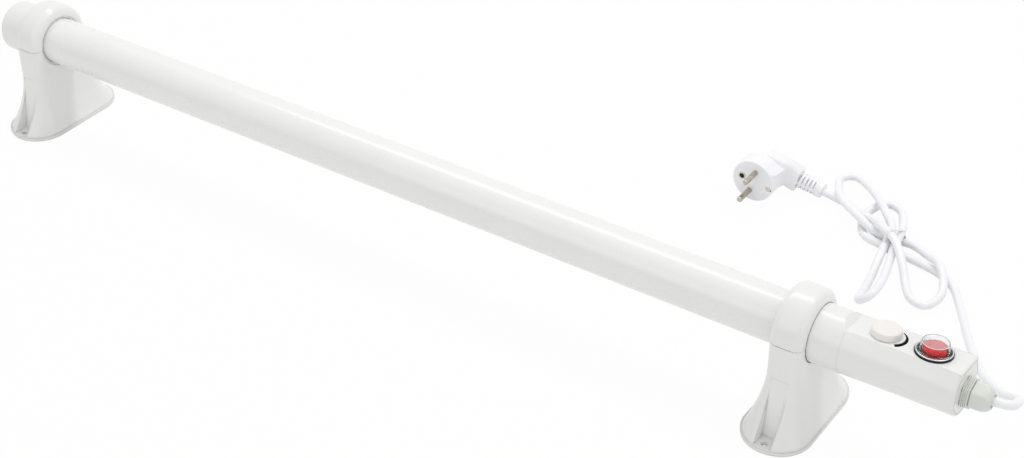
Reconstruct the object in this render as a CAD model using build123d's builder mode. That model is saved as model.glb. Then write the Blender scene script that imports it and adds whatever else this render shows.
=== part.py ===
# Tubular greenhouse heater on two clamp brackets, with a control housing and a mains cord.
# Millimetres, +X along the tube towards the control housing, +Z up, feet on z = 0.
import math
import os

from build123d import *

os.makedirs("parts", exist_ok=True)

# Clearances
fit_gap = 0.3
running_gap = 0.1
seat_gap = 0.2

# Overall layout
tube_diameter = 40.0
tube_wall = 1.2
bracket_spacing = 740.0
axis_height = 78.5
cap_reach = 41.0

# Housing and end cap
sleeve_radius = 22.0
housing_wall = 2.0
socket_length = 31.0
sleeve_entry = 2.0
cap_end_wall = 3.0

# Brackets
ring_radius = 31.0
ring_width = 26.0
ring_round = 7.5
lip_round = 1.2
flange_length = 107.0
flange_depth = 53.6
flange_corner = 26.6
flange_thickness = 3.0
flange_lip = 1.3
flare_height = 56.0
bracket_wall = 3.2
foot_hole_diameter = 4.5
foot_hole_inset = 6.5
channel_width = 13.0
channel_foot_inset = 15.0
channel_top_height = 50.0

# Clamp screws
clamp_screw_diameter = 3.0
clamp_head_diameter = 5.4
clamp_head_height = 2.6
clamp_head_level = 46.0
clamp_screw_entry = 8.0

# Heating element
element_diameter = 6.5
element_leg_spacing = 14.0
element_return = 18.0
element_tail = 16.0
support_thickness = 1.6
support_spacing = 240.0
bush_thickness = 12.0
pin_diameter = 3.0
pin_length = 9.0

# Control housing
flat_height = 17.7
flat_half_start = 13.2
flat_half_end = 14.6
housing_roll = 6.5
scoop_start = 31.5
scoop_length = 4.5
housing_end_radius = 20.6
housing_edge_round = 1.6
end_plate_thickness = 3.0

# Thermostat
knob_offset = 60.0
knob_diameter = 21.8
knob_top_diameter = 20.4
knob_height = 4.4
knob_crown = 0.8
shaft_diameter = 6.0
bushing_diameter = 10.0
thermostat_length = 26.0
thermostat_width = 20.0
thermostat_height = 13.0
thermostat_nut_flats = 12.0
thermostat_nut_height = 2.0

# Switch
switch_offset = 95.0
switch_end_margin = 26.0
switch_body_diameter = 19.6
switch_depth = 16.0
bezel_diameter = 22.0
bezel_height = 1.6
cover_ring_diameter = 26.8
cover_ring_height = 2.4
cover_diameter = 20.8
cover_height = 7.0
cover_wall = 0.7
rocker_diameter = 16.4
rocker_gap = 0.5
rocker_tilt = 7.0
rocker_rise = 3.4
rocker_skirt = 1.5
rocker_belly = 3.5
rocker_dish = 0.9
rocker_draft = 0.6
rocker_pin_diameter = 2.0
rocker_pin_length = 0.9
blade_width = 4.8
blade_thickness = 0.8
blade_length = 8.0
blade_pitch = 5.6

# Cable gland
gland_drop = 2.5
gland_thread_diameter = 15.6
gland_thread_length = 8.0
gland_flats = 21.6
gland_turn = 19.5
gland_washer_thickness = 0.8
gland_hex_length = 5.0
gland_neck_diameter = 14.0
gland_neck_length = 8.0
dome_flats = 19.2
dome_diameter = 21.4
dome_length = 14.2
dome_tip_diameter = 12.0
dome_shoulder = 6.4
locknut_flats = 19.0
locknut_thickness = 4.0

# Terminal block
block_length = 24.0
block_width = 15.0
block_height = 9.0
block_screw_diameter = 4.0
block_offset = 62.0

# Mains cord and plug
cord_diameter = 6.8
plug_diameter = 37.5
plug_depth = 38.0
plug_rim_depth = 15.0
plug_roll = 13.0
plug_offset = -156.0
plug_row = 221.0
cable_depth = 29.0
pin_spacing = 19.0
plug_pin_diameter = 4.8
plug_pin_length = 19.0
pin_root_diameter = 4.0
pin_root_depth = 11.0
earth_socket_offset = 10.3
earth_socket_bore = 4.9
neck_reach = 27.0
relief_length = 26.0
relief_rows = 5
relief_web = 2.6
relief_collar = 5.6
tie_width = 4.0
tie_thickness = 1.0

# Derived positions
tube_radius = tube_diameter / 2
bore_radius = tube_radius - tube_wall
cord_radius = cord_diameter / 2
housing_reach = switch_offset + switch_end_margin
gland_reach = gland_washer_thickness + gland_hex_length + dome_length
total_length = cap_reach + bracket_spacing + housing_reach + gland_reach
cap_end = -total_length / 2
left_x = cap_end + cap_reach
right_x = left_x + bracket_spacing
housing_end = right_x + housing_reach
gland_tip = housing_end + gland_reach
cap_inner_end = cap_end + cap_end_wall
tube_start = cap_inner_end + seat_gap
sleeve_start = right_x - sleeve_entry
tube_end = sleeve_start + socket_length
shoulder = tube_end + seat_gap
flat_level = axis_height + flat_height
knob_x = right_x + knob_offset
switch_x = right_x + switch_offset
gland_height = axis_height - gland_drop
tube_axis = Axis((0, 0, axis_height), (1, 0, 0))

# Heating tube
with BuildPart() as heating_tube:
    with BuildSketch(Plane.YZ.offset(tube_start)):
        with Locations((0, axis_height)):
            Circle(tube_radius)
            Circle(bore_radius, mode=Mode.SUBTRACT)
    extrude(amount=tube_end - tube_start)

# Bracket form: flared hollow pedestal that rises into a clamp ring
neck_half_depth = ring_width / 2
neck_half_length = ring_radius
flare_levels = [flange_thickness, 7.0, 12.0, 18.0, 26.0, 36.0, flare_height]
body_foot_depth = flange_depth / 2 - flange_lip
body_foot_length = flange_length / 2 - flange_lip
foot_share = 1 - flange_thickness / flare_height
foot_hole_spacing = flange_length - 2 * foot_hole_inset
channel_foot = flange_length / 2 - channel_foot_inset


def flare_section(level, inset):
    """Half depth, half length and corner radius of the pedestal at one level."""
    share = (1 - level / flare_height) / foot_share
    half_depth = neck_half_depth + (body_foot_depth - neck_half_depth) * share**1.8
    half_length = neck_half_length + (body_foot_length - neck_half_length) * share**2.1
    corner = ring_round + (flange_corner - flange_lip - ring_round) * share**1.6
    return half_depth - inset, half_length - inset, max(corner - inset, 2.0)


counterbore_radius = sleeve_radius + fit_gap
clamp_row = (counterbore_radius + ring_radius) / 2
cavity_top = clamp_head_level + 1.0
cavity_foot_length = channel_foot - bracket_wall
cavity_top_length = clamp_row - clamp_head_diameter / 2 - fit_gap
channel_top = ring_radius - 0.2

with BuildPart() as clamp_ring_form:
    with BuildSketch(Plane.XZ):
        with Locations((0, axis_height + (counterbore_radius + ring_radius) / 2)):
            ring_profile = Rectangle(ring_width, ring_radius - counterbore_radius)
        fillet(ring_profile.vertices().group_by(Axis.Y)[-1], ring_round)
    revolve(axis=tube_axis)
    # Land that grips the bare tube, with the sleeve's counterbore left beside it
    with BuildSketch(Plane.YZ.offset(-neck_half_depth + lip_round)):
        with Locations((0, axis_height)):
            Circle(counterbore_radius + 0.5)
            Circle(tube_radius + fit_gap, mode=Mode.SUBTRACT)
    extrude(amount=neck_half_depth - lip_round - sleeve_entry - seat_gap)

with BuildPart() as pedestal_form:
    with BuildSketch(Plane.XY):
        RectangleRounded(flange_depth, flange_length, flange_corner)
    extrude(amount=flange_thickness)
    for level in flare_levels:
        half_depth, half_length, corner = flare_section(level, 0.0)
        with BuildSketch(Plane.XY.offset(level)):
            RectangleRounded(2 * half_depth, 2 * half_length, corner)
    loft()
    with BuildSketch(Plane.XY.offset(flare_height)):
        RectangleRounded(ring_width, 2 * ring_radius, ring_round)
    extrude(amount=axis_height - flare_height)
    with BuildSketch(Plane.YZ.offset(-ring_width)):
        with Locations((0, axis_height)):
            Circle(counterbore_radius + 0.4)
    extrude(amount=2 * ring_width, mode=Mode.SUBTRACT)
    add(clamp_ring_form.part)
    split(bisect_by=Plane.XY.offset(axis_height), keep=Keep.BOTTOM)
    # Hollow underside
    foot_depth = body_foot_depth - bracket_wall
    with BuildSketch(Plane.XY):
        RectangleRounded(2 * foot_depth, 2 * cavity_foot_length, 8.0)
    for level in (18.0, cavity_top):
        half_depth = flare_section(level, bracket_wall)[0]
        span = level / cavity_top
        half_length = cavity_foot_length + (cavity_top_length - cavity_foot_length) * span
        with BuildSketch(Plane.XY.offset(level)):
            RectangleRounded(2 * half_depth, 2 * half_length, 4.0)
    loft(mode=Mode.SUBTRACT)
    # Screw channel in each narrow side, with the foot hole in its floor
    for side in (-1, 1):
        with BuildSketch(Plane.YZ.offset(-channel_width / 2)):
            with BuildLine():
                Polyline(
                    (side * flange_length, flange_thickness),
                    (side * channel_foot, flange_thickness),
                    (side * channel_top, channel_top_height),
                    (side * flange_length, channel_top_height),
                    close=True,
                )
            make_face()
        extrude(amount=channel_width, mode=Mode.SUBTRACT)
    with BuildSketch(Plane.XY):
        with GridLocations(0, foot_hole_spacing, 1, 2):
            Circle(foot_hole_diameter / 2)
    extrude(amount=flange_thickness, mode=Mode.SUBTRACT)
    # Clamp screw holes, each with a counterbore for its head from below
    with BuildSketch(Plane.XY):
        with GridLocations(0, 2 * clamp_row, 1, 2):
            Circle(clamp_head_diameter / 2 + fit_gap)
    extrude(amount=clamp_head_level, mode=Mode.SUBTRACT)
    with BuildSketch(Plane.XY.offset(clamp_head_level)):
        with GridLocations(0, 2 * clamp_row, 1, 2):
            Circle(clamp_screw_diameter / 2 + fit_gap)
    extrude(amount=axis_height, mode=Mode.SUBTRACT)

with BuildPart() as clamp_cap_form:
    add(clamp_ring_form.part)
    split(bisect_by=Plane.XY.offset(axis_height), keep=Keep.TOP)
    with BuildSketch(Plane.XY.offset(axis_height)):
        with GridLocations(0, 2 * clamp_row, 1, 2):
            Circle(clamp_screw_diameter / 2 + fit_gap / 2)
    extrude(amount=clamp_screw_entry + 0.5, mode=Mode.SUBTRACT)

with BuildPart() as clamp_screw_form:
    with BuildSketch(Plane.XY.offset(clamp_head_level)):
        with GridLocations(0, 2 * clamp_row, 1, 2):
            Circle(clamp_head_diameter / 2)
    extrude(amount=-clamp_head_height)
    with BuildSketch(Plane.XY.offset(clamp_head_level)):
        with GridLocations(0, 2 * clamp_row, 1, 2):
            Circle(clamp_screw_diameter / 2)
    extrude(amount=axis_height + clamp_screw_entry - clamp_head_level)

# The right bracket is the same moulding as the left one, turned half way round
with BuildPart() as left_pedestal:
    with Locations(Location((left_x, 0, 0), (0, 0, 180))):
        add(pedestal_form.part)

with BuildPart() as left_clamp_cap:
    with Locations(Location((left_x, 0, 0), (0, 0, 180))):
        add(clamp_cap_form.part)

with BuildPart() as right_pedestal:
    with Locations((right_x, 0, 0)):
        add(pedestal_form.part)

with BuildPart() as right_clamp_cap:
    with Locations((right_x, 0, 0)):
        add(clamp_cap_form.part)

with BuildPart() as clamp_screws:
    with Locations((left_x, 0, 0), (right_x, 0, 0)):
        add(clamp_screw_form.part)

# End cap over the closed end of the tube
with BuildPart() as end_cap:
    with BuildSketch(Plane.YZ.offset(cap_end)):
        with Locations((0, axis_height)):
            Circle(sleeve_radius)
    extrude(amount=cap_reach + sleeve_entry)
    fillet(end_cap.faces().sort_by(Axis.X)[0].edges(), 5.0)
    with BuildSketch(Plane.YZ.offset(cap_inner_end)):
        with Locations((0, axis_height)):
            Circle(tube_radius + seat_gap)
    extrude(amount=cap_reach, mode=Mode.SUBTRACT)

# Element: one hairpin of sheathed rod with its cold pins
hairpin_start = tube_start + element_return
hairpin_end = tube_end + element_tail - bush_thickness
leg = element_leg_spacing / 2
with BuildPart() as element_hairpin:
    with BuildLine() as hairpin_line:
        upper_leg = Line((hairpin_end, 0, axis_height + leg), (hairpin_start, 0, axis_height + leg))
        bend = ThreePointArc(
            (hairpin_start, 0, axis_height + leg),
            (hairpin_start - leg, 0, axis_height),
            (hairpin_start, 0, axis_height - leg),
        )
        lower_leg = Line((hairpin_start, 0, axis_height - leg), (hairpin_end, 0, axis_height - leg))
    with BuildSketch(Plane.YZ.offset(hairpin_end)):
        with Locations((0, axis_height + leg)):
            Circle(element_diameter / 2)
    sweep()

with BuildPart() as element_pins:
    with BuildSketch(Plane.YZ.offset(hairpin_end)):
        with Locations((0, axis_height + leg), (0, axis_height - leg)):
            Circle(pin_diameter / 2)
    extrude(amount=pin_length)

support_radius = bore_radius - fit_gap
support_hole = element_diameter / 2 + seat_gap
with BuildPart() as support_form:
    with BuildSketch(Plane.YZ.offset(-support_thickness / 2)):
        with Locations((0, axis_height)):
            Circle(support_radius)
        with Locations((0, axis_height + leg), (0, axis_height - leg)):
            Circle(support_hole, mode=Mode.SUBTRACT)
        with Locations((support_radius * 0.55, axis_height), (-support_radius * 0.55, axis_height)):
            SlotOverall(14.0, 7.0, rotation=90, mode=Mode.SUBTRACT)
    extrude(amount=support_thickness)

middle_x = (tube_start + tube_end) / 2
with BuildPart() as left_element_support:
    with Locations((middle_x - support_spacing, 0, 0)):
        add(support_form.part)

with BuildPart() as middle_element_support:
    with Locations((middle_x, 0, 0)):
        add(support_form.part)

with BuildPart() as right_element_support:
    with Locations((middle_x + support_spacing, 0, 0)):
        add(support_form.part)

# Bush that closes the control end of the tube round the element legs
with BuildPart() as element_bush:
    with BuildSketch(Plane.YZ.offset(tube_end - bush_thickness)):
        with Locations((0, axis_height)):
            Circle(bore_radius - seat_gap)
        with Locations((0, axis_height + leg), (0, axis_height - leg)):
            Circle(support_hole, mode=Mode.SUBTRACT)
    extrude(amount=bush_thickness)

# Disc thermostat that cuts the heater off if the tube end overheats
cutout_radius = 6.0
cutout_height = 5.0
cutout_row = 11.0
with BuildPart() as thermal_cutout:
    with BuildSketch(Plane.YZ.offset(tube_end)):
        with Locations((-cutout_row, axis_height)):
            Circle(cutout_radius)
    extrude(amount=cutout_height)
    with BuildSketch(Plane.YZ.offset(tube_end + cutout_height)):
        with Locations((-cutout_row, axis_height + 3.0), (-cutout_row, axis_height - 3.0)):
            Rectangle(4.0, blade_thickness)
    extrude(amount=5.0)


def rolled(form):
    """The form turned about the tube axis by the roll of the housing."""
    return form.part.rotate(tube_axis, -housing_roll)


def housing_outline(radius, half_width, height):
    """Round-bottomed outline whose flanks run tangent up to a flat top."""
    reach = math.hypot(half_width, height)
    spread = math.acos(radius / reach)
    angle = math.atan2(height, half_width) - spread
    side = radius * math.cos(angle)
    rise = axis_height + radius * math.sin(angle)
    top = axis_height + height
    with BuildSketch() as outline:
        with BuildLine():
            ThreePointArc((side, rise), (0, axis_height - radius), (-side, rise))
            Line((-side, rise), (-half_width, top))
            Line((-half_width, top), (half_width, top))
            Line((half_width, top), (side, rise))
        make_face()
    return outline.sketch


plate_inset = housing_wall + seat_gap
body_start_outline = housing_outline(sleeve_radius - 0.05, flat_half_start, flat_height)
body_end_outline = housing_outline(housing_end_radius, flat_half_end, flat_height)
chamber_start_outline = housing_outline(
    bore_radius, flat_half_start - housing_wall, flat_height - housing_wall
)
chamber_end_outline = housing_outline(
    housing_end_radius - housing_wall, flat_half_end - housing_wall, flat_height - housing_wall
)
plate_outline = housing_outline(
    housing_end_radius - plate_inset, flat_half_end - plate_inset, flat_height - plate_inset
)
loft_start = right_x + scoop_start
scoop_end = loft_start + scoop_length
inner_start = tube_end + 3.0

# Control housing: sleeve over the tube, scooped step, then a flat-topped body
with BuildPart() as control_housing_form:
    with BuildSketch(Plane.YZ.offset(sleeve_start)):
        with Locations((0, axis_height)):
            Circle(sleeve_radius)
    extrude(amount=scoop_end - sleeve_start)
    with BuildSketch(Plane.YZ.offset(loft_start)):
        add(body_start_outline)
    with BuildSketch(Plane.YZ.offset(housing_end)):
        add(body_end_outline)
    loft()
    with BuildSketch(Plane.XZ.offset(-2 * sleeve_radius)):
        with BuildLine():
            Polyline(
                (loft_start, axis_height + sleeve_radius + 0.5),
                (loft_start, axis_height + sleeve_radius),
                (scoop_end, flat_level),
                (housing_end + 1.0, flat_level),
                (housing_end + 1.0, axis_height + sleeve_radius + 0.5),
                close=True,
            )
        make_face()
    extrude(amount=4 * sleeve_radius, mode=Mode.SUBTRACT)
    outer_rim = control_housing_form.faces().sort_by(Axis.X)[-1].edges()
    fillet(outer_rim, housing_edge_round)
    # Socket for the tube
    with BuildSketch(Plane.YZ.offset(sleeve_start)):
        with Locations((0, axis_height)):
            Circle(tube_radius + seat_gap)
    extrude(amount=shoulder - sleeve_start, mode=Mode.SUBTRACT)
    # Wiring chamber, open at the end for the plate
    with BuildSketch(Plane.YZ.offset(shoulder)):
        with Locations((0, axis_height)):
            Circle(bore_radius - 1.0)
    extrude(amount=inner_start - shoulder, mode=Mode.SUBTRACT)
    with BuildSketch(Plane.YZ.offset(inner_start)):
        add(chamber_start_outline)
    with BuildSketch(Plane.YZ.offset(housing_end)):
        add(chamber_end_outline)
    loft(mode=Mode.SUBTRACT)
    # Holes in the flat for the thermostat bushing and the switch
    with BuildSketch(Plane.XY.offset(flat_level)):
        with Locations((knob_x, 0)):
            Circle(bushing_diameter / 2 + seat_gap)
        with Locations((switch_x, 0)):
            Circle(switch_body_diameter / 2 + seat_gap)
    extrude(amount=-2 * housing_wall, mode=Mode.SUBTRACT)
    # Ledge that carries the terminal block
    block_x = right_x + block_offset
    block_floor = axis_height - bore_radius + 3.0
    with BuildSketch(Plane.XY.offset(axis_height - bore_radius - 0.6)):
        with Locations((block_x, 0)):
            Rectangle(block_length, 10.0)
    extrude(amount=3.6)

with BuildPart() as control_housing:
    add(rolled(control_housing_form))

# End plate, set flush in the end of the housing and carrying the gland
plate_start = housing_end - end_plate_thickness
with BuildPart() as end_plate_form:
    with BuildSketch(Plane.YZ.offset(plate_start)):
        add(plate_outline)
    extrude(amount=end_plate_thickness)

with BuildPart() as end_plate:
    add(rolled(end_plate_form))
    with BuildSketch(Plane.YZ.offset(plate_start)):
        with Locations((0, gland_height)):
            Circle(gland_thread_diameter / 2 + seat_gap)
    extrude(amount=end_plate_thickness, mode=Mode.SUBTRACT)

# Thermostat with its bushing through the flat
thermostat_top = flat_level - housing_wall
with BuildPart() as thermostat_body_form:
    with BuildSketch(Plane.XY.offset(thermostat_top - 2.4)):
        with Locations((knob_x, 0)):
            RectangleRounded(thermostat_length, thermostat_width, 2.0)
    extrude(amount=-thermostat_height)
    with BuildSketch(Plane.XY.offset(thermostat_top - 2.4)):
        with Locations((knob_x, 0)):
            Circle(bushing_diameter / 2 + 2.0)
    extrude(amount=2.4)
    with BuildSketch(Plane.XY.offset(thermostat_top)):
        with Locations((knob_x, 0)):
            Circle(bushing_diameter / 2)
    extrude(amount=housing_wall + thermostat_nut_height)
    with BuildSketch(Plane.XY.offset(thermostat_top - 2.4 - thermostat_height)):
        with Locations((knob_x, 0)):
            Circle(shaft_diameter / 2 + running_gap)
    shaft_bore_depth = thermostat_height + 2.4 + housing_wall + thermostat_nut_height
    extrude(amount=shaft_bore_depth, mode=Mode.SUBTRACT)

with BuildPart() as thermostat_body:
    add(rolled(thermostat_body_form))

with BuildPart() as thermostat_nut_form:
    with BuildSketch(Plane.XY.offset(flat_level)):
        with Locations((knob_x, 0)):
            RegularPolygon(thermostat_nut_flats / 2, 6, major_radius=False)
            Circle(bushing_diameter / 2 + running_gap, mode=Mode.SUBTRACT)
    extrude(amount=thermostat_nut_height)

with BuildPart() as thermostat_nut:
    add(rolled(thermostat_nut_form))

# Knob and shaft turn together
knob_base = flat_level + fit_gap
knob_recess = thermostat_nut_height + fit_gap
with BuildPart() as thermostat_knob_form:
    with BuildSketch(Plane.XY.offset(knob_base)):
        with Locations((knob_x, 0)):
            Circle(knob_diameter / 2)
    with BuildSketch(Plane.XY.offset(knob_base + knob_height)):
        with Locations((knob_x, 0)):
            Circle(knob_top_diameter / 2)
    loft()
    with BuildSketch(Plane.XY.offset(knob_base + knob_height)):
        with Locations((knob_x, 0)):
            Circle(knob_top_diameter / 2)
    extrude(amount=knob_crown, taper=50)
    with BuildSketch(Plane.XY.offset(knob_base)):
        with Locations((knob_x, 0)):
            Circle(thermostat_nut_flats * 0.65)
    extrude(amount=knob_recess, mode=Mode.SUBTRACT)

with BuildPart() as thermostat_knob:
    add(rolled(thermostat_knob_form))

with BuildPart() as thermostat_shaft_form:
    with BuildSketch(Plane.XY.offset(thermostat_top - thermostat_height + 2.0)):
        with Locations((knob_x, 0)):
            Circle(shaft_diameter / 2)
    extrude(until=Until.NEXT, target=thermostat_knob_form.part)

with BuildPart() as thermostat_shaft:
    add(rolled(thermostat_shaft_form))

# Switch: body with bezel, rocker, blades, clear cover and its ring
bezel_top = flat_level + bezel_height
pivot_level = bezel_top - 2.4
rocker_edge = rocker_diameter / 2
with BuildPart() as switch_body_form:
    with BuildSketch(Plane.XY.offset(flat_level)):
        with Locations((switch_x, 0)):
            Circle(switch_body_diameter / 2)
    extrude(amount=-switch_depth)
    with BuildSketch(Plane.XY.offset(flat_level)):
        with Locations((switch_x, 0)):
            Circle(bezel_diameter / 2)
    extrude(amount=bezel_height)
    with BuildSketch(Plane.XY.offset(bezel_top)):
        with Locations((switch_x, 0)):
            Circle(rocker_edge + rocker_gap)
    extrude(amount=-9.0, mode=Mode.SUBTRACT)
    with BuildSketch(Plane.XZ.offset(-rocker_edge - rocker_pin_length - running_gap)):
        with Locations((switch_x, pivot_level)):
            Circle(rocker_pin_diameter / 2 + running_gap)
    extrude(amount=2 * (rocker_edge + rocker_pin_length + running_gap), mode=Mode.SUBTRACT)

with BuildPart() as switch_body:
    add(rolled(switch_body_form))

with BuildPart() as switch_blades_form:
    with BuildSketch(Plane.XY.offset(flat_level - switch_depth)):
        with GridLocations(blade_pitch, 0, 3, 1):
            with Locations((switch_x, 0)):
                Rectangle(blade_thickness, blade_width)
    extrude(amount=-blade_length)

with BuildPart() as switch_blades:
    add(rolled(switch_blades_form))

# Round rocker, its side profile cut to the round plan about the tilted pivot
rocker_top = bezel_top + rocker_rise
rocker_lean = (math.cos(math.radians(rocker_tilt)), 0, math.sin(math.radians(rocker_tilt)))
rocker_blank = rocker_edge + 1.0
rocker_side = Plane(origin=(switch_x, rocker_blank, pivot_level), x_dir=rocker_lean, z_dir=(0, -1, 0))
rocker_plan = Plane(
    origin=(switch_x, 0, pivot_level), x_dir=rocker_lean, z_dir=(-rocker_lean[2], 0, rocker_lean[0])
)
edge_rise = rocker_top - pivot_level
rocker_crown = rocker_edge - rocker_draft
with BuildPart() as switch_rocker_form:
    with BuildSketch(rocker_side):
        with BuildLine():
            Polyline(
                (-rocker_blank, edge_rise),
                (-rocker_blank, -rocker_skirt),
                (-rocker_edge, -rocker_skirt),
                (-rocker_edge / 2, -rocker_belly),
                (rocker_edge / 2, -rocker_belly),
                (rocker_edge, -rocker_skirt),
                (rocker_blank, -rocker_skirt),
                (rocker_blank, edge_rise),
            )
            ThreePointArc((rocker_blank, edge_rise), (0, edge_rise - rocker_dish), (-rocker_blank, edge_rise))
        make_face()
    extrude(amount=2 * rocker_blank)
    with BuildSketch(rocker_plan.offset(-rocker_belly - fit_gap)):
        Circle(rocker_edge)
    with BuildSketch(rocker_plan.offset(edge_rise + fit_gap)):
        Circle(rocker_crown)
    loft(mode=Mode.INTERSECT)
    with BuildSketch(Plane.XZ.offset(-rocker_edge - rocker_pin_length)):
        with Locations((switch_x, pivot_level)):
            Circle(rocker_pin_diameter / 2)
    extrude(amount=2 * (rocker_edge + rocker_pin_length))

with BuildPart() as switch_rocker:
    add(rolled(switch_rocker_form))

cover_radius = cover_diameter / 2
with BuildPart() as switch_cover_form:
    with BuildSketch(Plane.XZ):
        with BuildLine():
            Polyline(
                (switch_x, bezel_top + cover_height),
                (switch_x + cover_radius - 3.0, bezel_top + cover_height),
                (switch_x + cover_radius - 0.8, bezel_top + cover_height - 2.0),
                (switch_x + cover_radius, bezel_top + 1.0),
                (switch_x + cover_radius, bezel_top),
                (switch_x + cover_radius - cover_wall, bezel_top),
                (switch_x + cover_radius - cover_wall, bezel_top + 1.0),
                (switch_x + cover_radius - cover_wall - 0.8, bezel_top + cover_height - 2.0 - 0.2),
                (switch_x + cover_radius - 3.0 - 0.2, bezel_top + cover_height - cover_wall),
                (switch_x, bezel_top + cover_height - cover_wall),
                close=True,
            )
        make_face()
    revolve(axis=Axis((switch_x, 0, 0), (0, 0, 1)))

with BuildPart() as switch_cover:
    add(rolled(switch_cover_form))

ring_inner = max(bezel_diameter / 2, cover_radius) + seat_gap
with BuildPart() as switch_ring_form:
    with BuildSketch(Plane.XY.offset(flat_level)):
        with Locations((switch_x, 0)):
            Circle(cover_ring_diameter / 2)
            Circle(ring_inner, mode=Mode.SUBTRACT)
    extrude(amount=cover_ring_height)
    fillet(switch_ring_form.faces().sort_by(Axis.Z)[-1].outer_wire().edges(), 0.8)

with BuildPart() as switch_ring:
    add(rolled(switch_ring_form))

# Cable gland: washer, body, lock nut, seal and dome nut on one axis
gland_bore = cord_radius + fit_gap
hex_start = housing_end + gland_washer_thickness
dome_start = hex_start + gland_hex_length
with BuildPart() as gland_washer:
    with BuildSketch(Plane.YZ.offset(housing_end)):
        with Locations((0, gland_height)):
            Circle(gland_flats / 2 - 0.6)
            Circle(gland_thread_diameter / 2 + seat_gap, mode=Mode.SUBTRACT)
    extrude(amount=gland_washer_thickness)

with BuildPart() as gland_body:
    with BuildSketch(Plane.YZ.offset(hex_start)):
        with Locations((0, gland_height)):
            RegularPolygon(gland_flats / 2, 6, major_radius=False, rotation=gland_turn)
    extrude(amount=gland_hex_length)
    with BuildSketch(Plane.YZ.offset(hex_start)):
        with Locations((0, gland_height)):
            Circle(gland_thread_diameter / 2)
    extrude(amount=-gland_thread_length - gland_washer_thickness)
    with BuildSketch(Plane.YZ.offset(dome_start)):
        with Locations((0, gland_height)):
            Circle(gland_neck_diameter / 2)
    extrude(amount=gland_neck_length)
    with BuildSketch(Plane.YZ.offset(hex_start - gland_thread_length - gland_washer_thickness)):
        with Locations((0, gland_height)):
            Circle(gland_bore)
    gland_bore_length = gland_thread_length + gland_washer_thickness + gland_hex_length + gland_neck_length
    extrude(amount=gland_bore_length, mode=Mode.SUBTRACT)

with BuildPart() as gland_locknut:
    with BuildSketch(Plane.YZ.offset(plate_start)):
        with Locations((0, gland_height)):
            RegularPolygon(locknut_flats / 2, 6, major_radius=False)
            Circle(gland_thread_diameter / 2 + running_gap, mode=Mode.SUBTRACT)
    extrude(amount=-locknut_thickness)

seal_start = dome_start + gland_neck_length
seal_length = dome_length - gland_neck_length - 2.0
with BuildPart() as gland_seal:
    with BuildSketch(Plane.YZ.offset(seal_start)):
        with Locations((0, gland_height)):
            Circle(gland_neck_diameter / 2 - 1.4)
            Circle(gland_bore, mode=Mode.SUBTRACT)
    extrude(amount=seal_length)

with BuildPart() as gland_dome_nut:
    with BuildSketch(Plane.XZ):
        with BuildLine():
            Polyline(
                (dome_start, gland_height),
                (dome_start, gland_height + dome_diameter / 2),
                (gland_tip - dome_shoulder, gland_height + dome_diameter / 2),
            )
            Spline(
                (gland_tip - dome_shoulder, gland_height + dome_diameter / 2),
                (gland_tip - dome_shoulder / 2, gland_height + dome_flats / 2 - 0.8),
                (gland_tip - 0.8, gland_height + dome_tip_diameter / 2 + 1.2),
                (gland_tip, gland_height + dome_tip_diameter / 2),
            )
            Polyline(
                (gland_tip, gland_height + dome_tip_diameter / 2),
                (gland_tip, gland_height),
                (dome_start, gland_height),
            )
        make_face()
    revolve(axis=Axis((0, 0, gland_height), (1, 0, 0)))
    with BuildSketch(Plane.YZ.offset(dome_start)):
        with Locations((0, gland_height)):
            RegularPolygon(dome_flats / 2, 6, major_radius=False, rotation=gland_turn)
    extrude(amount=dome_length, mode=Mode.INTERSECT)
    with BuildSketch(Plane.YZ.offset(dome_start)):
        with Locations((0, gland_height)):
            Circle(gland_neck_diameter / 2 + running_gap)
    extrude(amount=gland_neck_length + seal_length, mode=Mode.SUBTRACT)
    with BuildSketch(Plane.YZ.offset(gland_tip - 4.0)):
        with Locations((0, gland_height)):
            Circle(gland_bore)
    extrude(amount=4.0, mode=Mode.SUBTRACT)

# Terminal block on its ledge
with BuildPart() as terminal_block_form:
    with BuildSketch(Plane.XY.offset(block_floor)):
        with Locations((block_x, 0)):
            Rectangle(block_length, block_width)
    extrude(amount=block_height)
    with BuildSketch(Plane.XY.offset(block_floor + block_height)):
        with Locations((block_x, 0)):
            with GridLocations(block_length / 3, 0, 3, 1):
                Circle(block_screw_diameter / 2 + seat_gap)
    extrude(amount=-3.0, mode=Mode.SUBTRACT)

with BuildPart() as terminal_block:
    add(rolled(terminal_block_form))

with BuildPart() as terminal_screws_form:
    with BuildSketch(Plane.XY.offset(block_floor + block_height - 3.0)):
        with Locations((block_x, 0)):
            with GridLocations(block_length / 3, 0, 3, 1):
                Circle(block_screw_diameter / 2)
    extrude(amount=2.0)

with BuildPart() as terminal_screws:
    add(rolled(terminal_screws_form))

# Plug lies on its round edge, one pin above the other, its cable leaving towards the tie
plug_radius = plug_diameter / 2
roll = math.radians(plug_roll)
plug_out = (math.cos(roll), 0, -math.sin(roll))
plug_x = right_x + plug_offset
plug_face = Plane(origin=(plug_x, plug_row, plug_radius), x_dir=plug_out, z_dir=(0, 1, 0))
cable_plane = Plane(
    origin=plug_face.from_local_coords((0, 0, cable_depth)), x_dir=(0, 1, 0), z_dir=plug_out
)
insert_radius = plug_radius - 3.2
insert_depth = 5.0
socket_outer = earth_socket_bore / 2 + 0.7
clip_width = 5.0
clip_thickness = 0.8
clip_length = 11.0
clip_row = plug_radius - 2.2
earth_socket_depth = 14.0

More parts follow.
